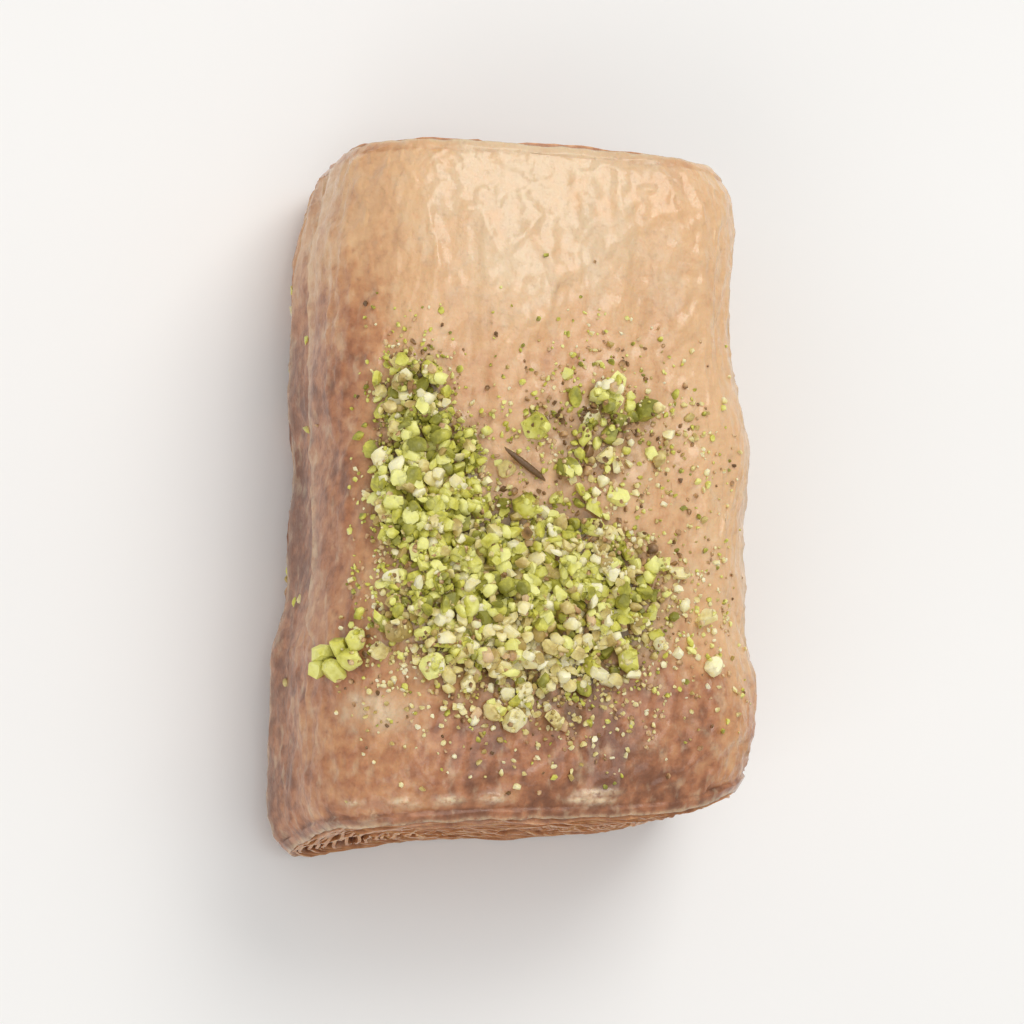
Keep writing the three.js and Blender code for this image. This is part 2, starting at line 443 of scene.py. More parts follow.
@dataclass(frozen=True)
class NutFinish:
    """Ground pistachio of one kind, each grain with a shade of its own."""

    name: str
    dark: Colour
    middle: Colour
    light: Colour
    gloss: Gloss = Gloss(0.3, (0.8, 0.8, 0.35), 0.7, 0.3, 0.2, 1.5)
    roughness: float = 0.42

    def material(self) -> bpy.types.Material:
        """Returns the material. The mesh carries shade, a number for each grain."""
        graph = Graph(f"{self.name}_finish")
        mottle = graph.clouds(0.5, 3.0)
        shade = (graph.attribute("shade") * 0.85 + (mottle - 0.5) * 0.7 + 0.1).spread(0.0, 1.0)
        colour = graph.ramp(shade, [(0.0, self.dark), (0.45, self.middle), (1.0, self.light)])
        roughness = self.roughness + 0.3 * mottle
        normal = graph.bump(graph.clouds(0.35, 3.0), 0.12)
        return graph.finish(
            {"Base Color": colour, "Roughness": roughness, "Normal": normal, **self.gloss.inputs()}
        )


class NutKind(Enum):
    """The kinds of pistachio bits, by what part of the kernel they come from."""

    GREEN = NutFinish(
        "nut_green", linear(136, 134, 46), linear(212, 208, 88), linear(242, 240, 150)
    )
    CREAM = NutFinish(
        "nut_cream", linear(184, 158, 92), linear(236, 220, 150), linear(251, 243, 200)
    )
    SKIN = NutFinish(
        "nut_skin", linear(104, 74, 40), linear(190, 148, 104), linear(226, 194, 150)
    )


# ---- The parcel's form ------------------------------------------------------------------


@dataclass(frozen=True)
class Fold:
    """A long fold of the top sheet: its depth, where it lies and how far it reaches."""

    depth: float
    at: float
    lean: float
    breadth: float
    middle: float
    reach: float

    def height(self, x: np.ndarray, y: np.ndarray) -> np.ndarray:
        """Returns the fold's height at plan places."""
        aside = (x + self.lean * y - self.at) / self.breadth
        return self.depth * hill(aside, (y - self.middle) / self.reach)


@dataclass(frozen=True)
class Wave:
    """A wave of the skin: its height, and its radians for each millimetre across and along."""

    height: float
    across: float
    along: float
    phase: float

    def at(self, x: np.ndarray, y: np.ndarray) -> np.ndarray:
        """Returns the wave's height at plan places."""
        return self.height * np.sin(self.across * x + self.along * y + self.phase)


@dataclass(frozen=True)
class Parcel:
    """The rolled parcel's form, from the part's driving dimensions, in millimetres."""

    length: float = 52.0
    end_cut: float = 0.965
    width: float = 34.4
    height: float = 20.6
    widest_height: float = 8.5
    foot_flattening: float = 0.9
    crown_fall_front: float = 1.1
    crown_fall_back: float = 0.6
    front_spread: float = 0.8
    end_spread: float = 0.35
    front_skew: float = 0.9
    corner_sag: float = 1.5
    sweep_depth: float = 5.2
    sweep_from: float = 0.3
    sweep_reach: float = 0.97
    dent_depth: float = 1.0
    dent_at: float = 12.0
    dent_reach: float = 4.5
    top_roundness: float = 3.8
    foot_roundness: float = 5.0
    end_roundness: float = 10.0
    edge_crowding: float = 1.2
    folds: tuple[Fold, ...] = (
        Fold(-0.42, -6.5, 0.1, 1.7, 11, 13),
        Fold(0.4, 3.2, -0.06, 1.8, 7, 16),
        Fold(-0.45, 9.6, 0.14, 1.6, 0, 17),
        Fold(0.35, -11.5, 0.05, 1.7, -8, 16),
    )
    swells: tuple[Wave, ...] = (Wave(0.3, 0.29, 0.16, 1.1), Wave(0.22, 0.12, -0.31, 0.4))
    left_wave: Wave = Wave(0.3, 0.0, 0.23, 2.1)
    right_wave: Wave = Wave(0.3, 0.0, 0.23, 0.6)
    side_ripple: Wave = Wave(0.15, 0.0, 0.61, 0.0)

    def crowd(self, place: np.ndarray) -> np.ndarray:
        """Draws places from -1 to 1 towards the nearer edge."""
        return np.sin(self.edge_crowding * place) / math.sin(self.edge_crowding)

    def inset(self, ring: np.ndarray) -> np.ndarray:
        """Returns how far inside the section's outline a ring lies, from 1 at the outline to 0."""
        return (1 - ring) * (self.width + self.height) / 4

    def _ring_and_girth(self, across: np.ndarray, up: np.ndarray) -> Pair:
        """Finds which square and which rounded section places of the cube lie on.

        Args:
            across: their places across the cube.
            up: their places up the cube.

        Returns:
            The square's size and the section's size.
        """
        ring = np.maximum(np.maximum(abs(across), abs(up)), 1e-9)
        high = smoothstep(up / ring, -0.35, 0.95)
        roundness = self.foot_roundness + (self.top_roundness - self.foot_roundness) * high
        girth = (abs(across) ** roundness + abs(up) ** roundness) ** (1 / roundness)
        return ring, np.maximum(girth, 1e-9)

    def cell(self, sideways: np.ndarray, upwards: np.ndarray) -> Pair:
        """Finds where points of the section, given as shares of its half sizes, lie on the cube."""
        ring, girth = self._ring_and_girth(sideways, upwards)
        return sideways * girth / ring, upwards * girth / ring

    def relief(self, x: np.ndarray, y: np.ndarray) -> np.ndarray:
        """Returns the folds and swells of the top at plan places."""
        swells = sum(wave.at(x, y) for wave in self.swells)
        return sum((fold.height(x, y) for fold in self.folds), swells)

    def skin(self, across: np.ndarray, along: np.ndarray, up: np.ndarray) -> np.ndarray:
        """Maps points of the cube from -1 to 1 onto the parcel's skin.

        Args:
            across: from the left side to the right.
            along: from the front end to the back.
            up: from the foot to the top.

        Returns:
            Points in millimetres, one row each.
        """
        ring, girth = self._ring_and_girth(across, up)
        rounding = ring / girth
        power = self.end_roundness
        shrink = (ring**power + abs(along) ** power) ** (-1 / power)

        half_width = self.width / 2 + self.end_spread * along**2 - self.front_spread * along
        fall = np.where(along < 0, self.crown_fall_front, self.crown_fall_back) * along**2
        above = self.height - fall - self.widest_height
        half_height = np.where(up > 0, above, self.widest_height + self.foot_flattening)
        x = half_width * across * rounding * shrink
        half_length = self.length / 2
        y = np.clip(half_length / self.end_cut * along * shrink, -half_length, half_length)
        z = self.widest_height + half_height * up * rounding * shrink

        side = abs(across) ** 6
        wave = np.where(across > 0, self.right_wave.at(x, y), self.left_wave.at(x, y))
        x = x + side * (wave + self.side_ripple.at(x, y))
        dent = side * self.dent_depth * hill(0.0, (y - self.dent_at) / self.dent_reach)
        x = x - np.where(across > 0, dent, 0.0)

        front = smoothstep(-along, 0, 1)
        sag = self.corner_sag * front * smoothstep(-across, 0.2, 1) * smoothstep(-up, -0.6, 0.8)
        right = np.clip((x / half_width - self.sweep_from) / (1 - self.sweep_from), 0, 1)
        sweep = self.sweep_depth * (1 - np.sqrt(1 - (self.sweep_reach * right) ** 2))
        x = x - 0.4 * sag
        y = y + front * (self.front_skew * across + sweep) - 0.7 * sag

        top = smoothstep(up, 0.2, 1) * smoothstep(1.06 - abs(along), 0, 0.3)
        z = z + top * self.relief(x, y)
        return np.stack([x, y, np.maximum(z, 0.0)], axis=-1)


# ---- Mesh helpers -----------------------------------------------------------------------


def deselect_all() -> None:
    """Leaves nothing selected, so that an operator acts on a new piece alone."""
    bpy.ops.object.select_all(action="DESELECT")


def points_of(piece: bpy.types.Object) -> np.ndarray:
    """Reads where a piece's vertices lie.

    Args:
        piece: the piece.

    Returns:
        Their places, one row each.
    """
    flat = np.empty(len(piece.data.vertices) * 3, dtype=np.float32)
    piece.data.vertices.foreach_get("co", flat)
    return flat.reshape(-1, 3).astype(float)


def set_points(piece: bpy.types.Object, points: np.ndarray) -> None:
    """Moves a piece's vertices."""
    piece.data.vertices.foreach_set("co", points.astype(np.float32).ravel())
    piece.data.update()


def normals_of(piece: bpy.types.Object) -> np.ndarray:
    """Reads which way a piece's vertices face.

    Args:
        piece: the piece.

    Returns:
        Their normals, one row each.
    """
    flat = np.empty(len(piece.data.vertices) * 3, dtype=np.float32)
    piece.data.vertex_normals.foreach_get("vector", flat)
    return flat.reshape(-1, 3).astype(float)


def store(piece: bpy.types.Object, name: str, values: np.ndarray) -> None:
    """Stores a number for each vertex, which a finish can read."""
    layer = piece.data.attributes.new(name, "FLOAT", "POINT")
    layer.data.foreach_set("value", values.astype(np.float32))


def select(*pieces: bpy.types.Object) -> None:
    """Selects these pieces and no others, and makes the first the active one."""
    deselect_all()
    for piece in pieces:
        piece.select_set(True)
    bpy.context.view_layer.objects.active = pieces[0]


def apply_modifier(piece: bpy.types.Object, kind: str, **settings: object) -> None:
    """Adds a modifier with these settings and applies it.

    Args:
        piece: the piece.
        kind: the modifier's type.
        settings: its settings by name.
    """
    select(piece)
    bpy.ops.object.modifier_add(type=kind)
    modifier = piece.modifiers[-1]
    for name, value in settings.items():
        setattr(modifier, name, value)
    bpy.ops.object.modifier_apply(modifier=modifier.name)


def smooth(piece: bpy.types.Object, degrees: float) -> None:
    """Shades a piece smoothly, apart from edges sharper than an angle."""
    select(piece)
    bpy.ops.object.shade_smooth_by_angle(angle=math.radians(degrees))


def thicken(piece: bpy.types.Object, thickness: float) -> None:
    """Turns a thin sheet into a closed shell.

    Args:
        piece: the sheet.
        thickness: in millimetres.
    """
    apply_modifier(piece, "SOLIDIFY", thickness=thickness * MM, offset=0.0)
    bpy.ops.object.mode_set(mode="EDIT")
    bpy.ops.mesh.select_all(action="SELECT")
    bpy.ops.mesh.normals_make_consistent(inside=False)
    bpy.ops.object.mode_set(mode="OBJECT")


def join(pieces: list[bpy.types.Object], name: str) -> bpy.types.Object:
    """Joins pieces into one.

    Args:
        pieces: what to join.
        name: the joined piece's name.

    Returns:
        The joined piece.
    """
    select(*pieces)
    bpy.ops.object.join()
    pieces[0].name = pieces[0].data.name = name
    return pieces[0]


def new_cube(name: str) -> bpy.types.Object:
    """Adds the cube from -1 to 1 that a form is worked from.

    Args:
        name: the piece's name.

    Returns:
        The cube.
    """
    deselect_all()
    bpy.ops.mesh.primitive_cube_add(size=2.0)
    piece = bpy.context.active_object
    piece.name = piece.data.name = name
    return piece


def cut_cube(piece: bpy.types.Object, cells: tuple[int, int, int]) -> None:
    """Cuts a cube into cells along X, Y and Z by planes.

    Args:
        piece: the cube, from -1 to 1.
        cells: how many cells it gets along each axis.
    """
    bpy.context.view_layer.objects.active = piece
    bpy.ops.object.mode_set(mode="EDIT")
    for axis, count in enumerate(cells):
        way = Vector([float(other == axis) for other in range(3)])
        for number in range(1, count):
            bpy.ops.mesh.select_all(action="SELECT")
            bpy.ops.mesh.bisect(plane_co=way * mix(-1.0, 1.0, number / count), plane_no=way)
    bpy.ops.object.mode_set(mode="OBJECT")


def tree_of(piece: bpy.types.Object) -> BVHTree:
    """Returns a piece's faces as a tree that lines can be cast onto."""
    faces = [tuple(face.vertices) for face in piece.data.polygons]
    return BVHTree.FromPolygons(points_of(piece), faces)


def dress(piece: bpy.types.Object, material: bpy.types.Material) -> None:
    """Gives a piece its material and lets it move with the part.

    Args:
        piece: the piece.
        material: its finish.
    """
    piece.data.materials.clear()
    piece.data.materials.append(material)
    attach(piece, "root")
    LOG.info("%s: %d faces", piece.name, len(piece.data.polygons))


# ---- Pastry -----------------------------------------------------------------------------

# How many times broader a crease is on its gentle side.
GENTLE_SIDE = 2.6


def turned(x: np.ndarray, y: np.ndarray, turn: float) -> Pair:
    """Returns how far along and how far aside of a line through the origin places lie."""
    sine, cosine = math.sin(turn), math.cos(turn)
    return x * sine + y * cosine, x * cosine - y * sine


@dataclass(frozen=True)
class Crease:
    """A sharp little ridge where the top sheet creased, with one side steeper."""

    x: float
    y: float
    turn: float
    reach: float
    breadth: float
    height: float

    def lift(self, x: np.ndarray, y: np.ndarray, wander: np.ndarray) -> np.ndarray:
        """Works out the crease's height, along a wandering line.

        Args:
            x: places across.
            y: places along.
            wander: how far the line strays.

        Returns:
            The height at each place.
        """
        along, aside = turned(x - self.x, y - self.y, self.turn)
        aside = aside + wander
        slope = np.where(aside > 0, self.breadth, self.breadth * GENTLE_SIDE)
        return self.height * np.exp(-abs(aside / slope) ** 1.3 - (along / self.reach) ** 4)


@dataclass(frozen=True)
class TornEdge:
    """The torn edge of a thin sheet that lies on the top: a small step that fades behind."""

    x: float
    y: float
    turn: float
    reach: float
    step: float
    fade: float

    def lift(self, x: np.ndarray, y: np.ndarray, wander: np.ndarray) -> Pair:
        """Works out the step's height, along a wandering line.

        Args:
            x: places across.
            y: places along.
            wander: how far the line strays.

        Returns:
            The height at each place, and how near it is to the edge.
        """
        along, aside = turned(x - self.x, y - self.y, self.turn)
        aside = aside + wander
        window = np.exp(-((along / self.reach) ** 6))
        behind = np.exp(-np.maximum(aside, 0.0) / self.fade)
        lift = self.step * window * behind * smoothstep(aside, -0.12, 0.16)
        return lift, window * np.exp(-((aside - 0.15) / 0.3) ** 2)


@dataclass
class PastryBody:
    """The rolled filo with its creased top, its soaked sides and its two recessed ends."""

    parcel: Parcel
    seed: int = 90
    base_cells: tuple[int, int, int] = (9, 9, 6)
    cell_levels: int = 4
    crease_count: int = 80
    torn_count: int = 9
    blister_count: int = 14
    edge_blister_count: int = 13
    half_across: float = 15
    half_along: float = 24
    rim_breadth: float = 1.0
    rim_recess: float = 0.8
    wrinkle_middle: float = 0.24
    least_toast: float = 0.26
    skin_share: float = 0.985
    middle: np.ndarray = field(init=False)
    shrink: np.ndarray = field(init=False)

    def build(self) -> bpy.types.Object:
        """Returns the pastry as one closed mesh that carries toast, pale, dust, cut and edge."""
        piece = new_cube("pastry_body")
        cut_cube(piece, self.base_cells)
        levels = {"levels": self.cell_levels, "render_levels": self.cell_levels}
        apply_modifier(piece, "SUBSURF", subdivision_type="SIMPLE", **levels)
        cells = points_of(piece)
        across, along, up = self.parcel.crowd(cells).T
        skin = self.parcel.skin(across, along, up)
        set_points(piece, skin)
        out = normals_of(piece)

        end = np.isclose(abs(cells[:, 1]), 1.0, atol=1e-4)
        ring = np.maximum(abs(across), abs(up))
        points = skin + out * self._wrinkles(skin, out, end)[:, None]
        torn, edges = self._torn_edges(skin, up)
        risen, blister_glints = self._blisters(skin, along, up)
        points[:, 2] += self._creases(skin, up, along) + torn + risen
        inset = self.parcel.inset(ring)
        points[:, 1] += np.where(end, np.sign(along) * self._end_relief(skin, inset), 0.0)
        points[:, 2] = np.maximum(points[:, 2], 0.0)
        self._fit(points)
        set_points(piece, self.settle(points) * MM)

        lip = hill((inset - 0.75 * self.rim_breadth) / 0.25, 0.0)
        # cut: the ends' recessed floor, which the finish darkens as painted shade.
        store(piece, "cut", np.where(end, self._inside_rim(inset), 0.0))
        # edge: pale torn edges and end rims, and the blisters' painted highlights.
        store(piece, "edge", np.max([0.3 * edges, 0.6 * end * lip, blister_glints], axis=0))
        store(piece, "toast_and_shade", self.toast_and_shade(skin, along))
        store(piece, "pale", self.pale(skin, up))
        store(piece, "dust_and_shade", self._dust_and_shade(skin, up))
        smooth(piece, 180)
        return piece

    def settle(self, points: np.ndarray) -> np.ndarray:
        """Moves points of the parcel's formula to where the finished pastry stands."""
        return (points - self.middle) * self.shrink

    def _fit(self, points: np.ndarray) -> None:
        """Settles where the form stands: centred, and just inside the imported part's box.

        Args:
            points: the form's points.
        """
        low, high = (np.array(corner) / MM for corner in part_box("pastry"))
        middle = (points.min(axis=0) + points.max(axis=0)) / 2
        self.middle = np.array((middle[0], middle[1], points[:, 2].min()))
        room = (high - low)[:2] * self.skin_share
        reach = points[:, :2].max(axis=0) - points[:, :2].min(axis=0)
        self.shrink = np.array((*np.minimum(1.0, room / reach), 1.0))

    def _wrinkles(self, skin: np.ndarray, out: np.ndarray, end: np.ndarray) -> np.ndarray:
        """Wrinkles the sheets, clear of the cut ends and the foot.

        Args:
            skin: points of the parcel's skin.
            out: their normals.
            end: whether they are on a cut end.

        Returns:
            How far each point moves outwards.
        """
        soft = lumps(skin, (4.5, 9.0, 4.5), 2, self.seed)
        fine = lumps(skin, (1.3, 2.8, 1.1), 3, self.seed + 1)
        crumple = ridges(lumps(skin, (3.4, 6.5, 3.0), 2, self.seed + 7), 2.2, 3)
        crinkle = ridges(lumps(skin, (1.8, 2.3, 1.6), 2, self.seed + 12), 2.4, 2)
        pleats = ridges(lumps(skin, (7.0, 17.0, 2.6), 2, self.seed + 14), 3, 2)
        pleats *= smoothstep(abs(out[:, 0]), 0.6, 0.95)
        above_foot = 1 - smoothstep(-out[:, 2], 0.4, 0.9)
        wrinkles = 0.16 * soft + 0.1 * fine + 0.12 * crumple + 0.14 * crinkle + 0.2 * pleats
        return np.where(end, 0.0, (wrinkles - self.wrinkle_middle) * above_foot)

    def _creases(self, skin: np.ndarray, up: np.ndarray, along: np.ndarray) -> np.ndarray:
        """Creases the top.

        Args:
            skin: points of the parcel's skin.
            up: their places up the cube.
            along: their places along the cube.

        Returns:
            How far each point rises.
        """
        draw = Draw(self.seed)
        x, y = skin[:, 0], skin[:, 1]
        wander = 1.1 * lumps(skin, (6.0, 6.0, 6.0), 2, self.seed + 2)
        total = np.zeros(len(skin))
        for _ in range(self.crease_count):
            crease = Crease(
                draw.between(-self.half_across, self.half_across),
                draw.between(-self.half_along, self.half_along),
                draw.between(-1, 1) * 1.5,
                draw.between(1.5, 6),
                draw.between(0.14, 0.3),
                draw.between(-0.18, 0.26),
            )
            total += crease.lift(x, y, wander)
        top = smoothstep(up, 0.35, 0.9) * smoothstep(1 - abs(along), 0.0, 0.12)
        return total * top

    def _blisters(self, skin: np.ndarray, along: np.ndarray, up: np.ndarray) -> Pair:
        """Raises the blisters that baking made, with painted highlights on them. The brightest
        stand along the top's front edge.

        Args:
            skin: points of the parcel's skin.
            along: their places along the cube.
            up: their places up the cube.

        Returns:
            The blisters' height and their painted highlight at each point.
        """
        draw = Draw(self.seed + 23)
        spots = [
            (mix(-15.5, 8, draw() ** 1.7), draw.between(-0.965, -0.92), draw.between(0.6, 1.3))
            for _ in range(self.edge_blister_count)
        ]
        spots += [
            (draw.between(-15, 12), draw.between(-0.9, 0.9), 0.3) for _ in range(self.blister_count)
        ]
        total = np.zeros(len(skin))
        painted_glint = np.zeros(len(skin))
        for x, place, pale in spots:
            breadth = draw.between(0.5, 1.2)
            height = draw.between(0.16, 0.3)
            lengthwise = (along - place) * self.parcel.length / 2
            rise = hill((skin[:, 0] - x) / breadth, lengthwise / (0.5 * breadth))
            total += height * rise
            painted_glint = np.maximum(painted_glint, pale * rise)
        top = smoothstep(up, 0.5, 0.9)
        return total * top, painted_glint * top

    def _torn_edges(self, skin: np.ndarray, up: np.ndarray) -> Pair:
        """Lays torn sheets on the top.

        Args:
            skin: points of the parcel's skin.
            up: their places up the cube.

        Returns:
            How far each point rises, and how near it is to a torn edge.
        """
        draw = Draw(self.seed + 11)
        wander = 2.4 * lumps(skin, (7.0, 7.0, 7.0), 4, self.seed + 8)
        total = np.zeros(len(skin))
        nearest = np.zeros(len(skin))
        for _ in range(self.torn_count):
            edge = TornEdge(
                draw.between(-self.half_across, self.half_across),
                draw.between(-self.half_along, self.half_along),
                draw() * math.tau,
                draw.between(3, 9),
                draw.between(0.1, 0.2),
                draw.between(2, 7),
            )
            lift, near = edge.lift(skin[:, 0], skin[:, 1], wander)
            total += lift
            nearest = np.maximum(nearest, near)
        top = smoothstep(up, 0.35, 0.9)
        return total * top, nearest * top

    def _inside_rim(self, inset: np.ndarray) -> np.ndarray:
        """Returns 0 on the rim of an end and 1 inside it, by how far inside the outline it is."""
        return smoothstep(inset, self.rim_breadth * 0.8, self.rim_breadth * 1.3)

    def _end_relief(self, skin: np.ndarray, inset: np.ndarray) -> np.ndarray:
        """Gives the ends a wavy outer rim and a set-back floor inside it.

        Args:
            skin: points of the parcel's skin.
            inset: how far inside the outline they are.

        Returns:
            How far each point stands out.
        """
        rim = 0.16 * lumps(skin, (1.6, 1.6, 1.6), 2, self.seed + 5)
        floor = 0.3 * lumps(skin, (3.0, 3.0, 1.4), 3, self.seed + 4) - self.rim_recess
        return mix(rim, floor, self._inside_rim(inset))

    def toast_and_shade(self, skin: np.ndarray, along: np.ndarray) -> np.ndarray:
        """Works out how brown the crust is: most along the front, the left and the foot.

        The front is partly browned and partly painted shade where the top falls away from the
        light.
        The band on the left side is painted shade. The paler right front and front left corner are
        painted light.

        Args:
            skin: points of the parcel's skin.
            along: their places along the cube.

        Returns:
            A share from 0 to 1 for each point.
        """
        x, y, z = skin.T
        # Browner front: partly browning, partly painted shade where the top falls away from the
        # light.
        front = (0.46 + 0.16 * smoothstep(x, -13, -4)) * smoothstep(-y, 10, 16)
        # Painted light: less brown at the right front and at the front left corner.
        front *= 1 - 0.35 * smoothstep(x, 12, 15) - 0.5 * hill((x + 14) / 3.5, (y + 18) / 2.4)
        middle = 0.12 * hill((x + 2) / 9, (y - 4) / 14)
        # Painted shade along the left side.
        left = 0.62 * smoothstep(-x, 11.5, 16) * hill(0.0, ((y - 0.5) / 15.5) ** 2)
        foot = 0.34 * smoothstep(13 - z, 0, 12)
        edge = 0.25 * smoothstep(abs(along), 0.97, 1.0)
        # Painted light: paler at the right front.
        right = -0.25 * smoothstep(x, 9, 14) * smoothstep(y, -22, -15)
        patch = 0.16 * lumps(skin, (5.0, 8.0, 5.0), 3, self.seed + 6)
        browned = self.least_toast + front + middle + left + foot + edge + right + patch
        return np.clip(browned, 0, 1)

    def pale(self, skin: np.ndarray, up: np.ndarray) -> np.ndarray:
        """Works out how creamy the skin is: most of all on the top towards the back.

        The cream towards the back is a painted sheen, and at the front left corner a painted
        highlight.

        Args:
            skin: points of the parcel's skin.
            up: their places up the cube.

        Returns:
            A share from 0 to 1 for each point.
        """
        x, y, _ = skin.T
        breadth = 11.5 + 3 * smoothstep(y, 14, 20)
        # Painted sheen on the top towards the back.
        back = 0.85 * smoothstep(y, 4, 17) * hill((x + 1.5) / breadth, 0.0)
        # Painted highlight at the front left corner.
        left_corner = 0.8 * hill((x + 14) / 3.0, (y + 18) / 2.0)
        right_corner = 0.35 * hill((x - 15) / 2.6, (y + 15) / 3.4)
        top = smoothstep(up, 0.3, 0.9)
        patch = 0.2 * lumps(skin, (3.5, 5.0, 3.5), 3, self.seed + 9)
        return np.clip((0.1 + back + left_corner + right_corner) * top + patch, 0, 1)

    def _dust_and_shade(self, skin: np.ndarray, up: np.ndarray) -> np.ndarray:
        """Works out how much nut dust clings to the skin, under the heaps.

        The finish darkens it also as painted shade in the gaps between the grains.

        Args:
            skin: points of the parcel's skin.
            up: their places up the cube.

        Returns:
            A share from 0 to 1 for each point.
        """
        x, y, _ = skin.T
        heaps = np.max([patch.cover(x, y) for patch in SPRINKLES], axis=0)
        return smoothstep(heaps, 0.1, 0.75) * smoothstep(up, 0.6, 0.95)


# ---- Loose sheets -----------------------------------------------------------------------

# How far from the middle lines start that are cast at the sides.
CLEAR_OF_SIDES = 30


@dataclass(frozen=True)
class Flap:
    """The free edge of an outer sheet on one long side, by its places on the cube."""

    side: float
    level: float
    climb: float
    start: float
    stop: float
    lift: float


@dataclass
class LooseSheets:
    """Free edges of the outer sheets: thin flaps that lie on the long sides and end raggedly."""

    parcel: Parcel
    body: PastryBody
    ground: BVHTree
    columns: int = 150
    rows: int = 7
    breadth: float = 0.5
    thickness: float = 0.13
    bury: float = 0.16
    wander: float = 0.13
    flutter: float = 0.7
    taper: float = 0.1
    seed: int = 520
    flaps: tuple[Flap, ...] = (
        Flap(-1.0, -0.42, 0.14, -0.985, 0.985, 0.3),
        Flap(-1.0, 0.22, -0.1, -0.5, 0.985, 0.22),
        Flap(1.0, -0.3, -0.12, -0.985, 0.985, 0.3),
        Flap(1.0, 0.34, 0.12, -0.985, 0.4, 0.22),
    )

    def build(self) -> bpy.types.Object:
        """Returns all flaps as one mesh that carries toast, pale, dust, cut and edge."""
        sheets = [self._sheet(flap, number) for number, flap in enumerate(self.flaps)]
        piece = join(sheets, "loose_sheets")
        smooth(piece, 40)
        return piece

    def _sheet(self, flap: Flap, number: int) -> bpy.types.Object:
        """Models one flap from a grid, lays it on the side and gives it its thickness.

        Args:
            flap: which flap it is.
            number: its number, which picks its ragged line.

        Returns:
            The flap as a closed shell.
        """
        deselect_all()
        counts = {"x_subdivisions": self.columns, "y_subdivisions": self.rows}
        bpy.ops.mesh.primitive_grid_add(size=2.0, **counts)
        piece = bpy.context.active_object
        grid = points_of(piece)
        share = (grid[:, 0] + 1) / 2
        inwards = (grid[:, 1] + 1) / 2
        nothing = np.zeros(len(grid))
        line = np.stack([share * 50, nothing + number * 9.0, nothing], axis=-1)
        ragged = self.wander * lumps(line, (11.0, 11.0, 11.0), 4, self.seed + number)
        along = mix(flap.start, flap.stop, share)
        at_start = smoothstep(share, 0.0, self.taper) if flap.start > -0.9 else 1.0
        at_stop = smoothstep(1 - share, 0.0, self.taper) if flap.stop < 0.9 else 1.0
        whole = at_start * at_stop
        drawn_in = inwards + 0.5 * (1 - whole) * (1 - inwards)
        up = flap.level + flap.climb * along + ragged + self.breadth * drawn_in
        skin = self.parcel.skin(nothing + flap.side, along, up)
        flutter = 1 + self.flutter * lumps(line, (5.0, 5.0, 5.0), 2, self.seed + 20 + number)
        free = 1 - smoothstep(inwards, 0.0, 0.8)
        lift = flap.lift * flutter * whole * free - self.bury * inwards
        set_points(piece, self._laid(skin, flap.side, lift) * MM)
        store(piece, "toast_and_shade", self.body.toast_and_shade(skin, along) + 0.05)
        store(piece, "pale", self.body.pale(skin, up))
        store(piece, "dust_and_shade", nothing)
        store(piece, "cut", nothing)
        store(piece, "edge", 0.5 * (1 - smoothstep(inwards, 0.0, 0.2)))
        thicken(piece, self.thickness)
        return piece

    def _laid(self, skin: np.ndarray, side: float, lift: np.ndarray) -> np.ndarray:
        """Lays points of the parcel's skin on the finished pastry.

        Args:
            skin: points of the parcel's skin.
            side: -1 on the left and 1 on the right.
            lift: how far each point stands off the pastry.

        Returns:
            The points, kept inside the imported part's box.
        """
        laid = []
        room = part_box("pastry")[1][0] / MM - self.thickness
        for point, height in zip(self.body.settle(skin), lift):
            start = Vector((side * CLEAR_OF_SIDES, point[1], point[2]))
            place, _, _, _ = self.ground.ray_cast(start * MM, Vector((-side, 0, 0)))
            spot = np.array(place) / MM if place is not None else point
            laid.append((side * min(side * spot[0] + height, room), spot[1], spot[2]))
        return np.array(laid)


# ---- Cut leaves -------------------------------------------------------------------------


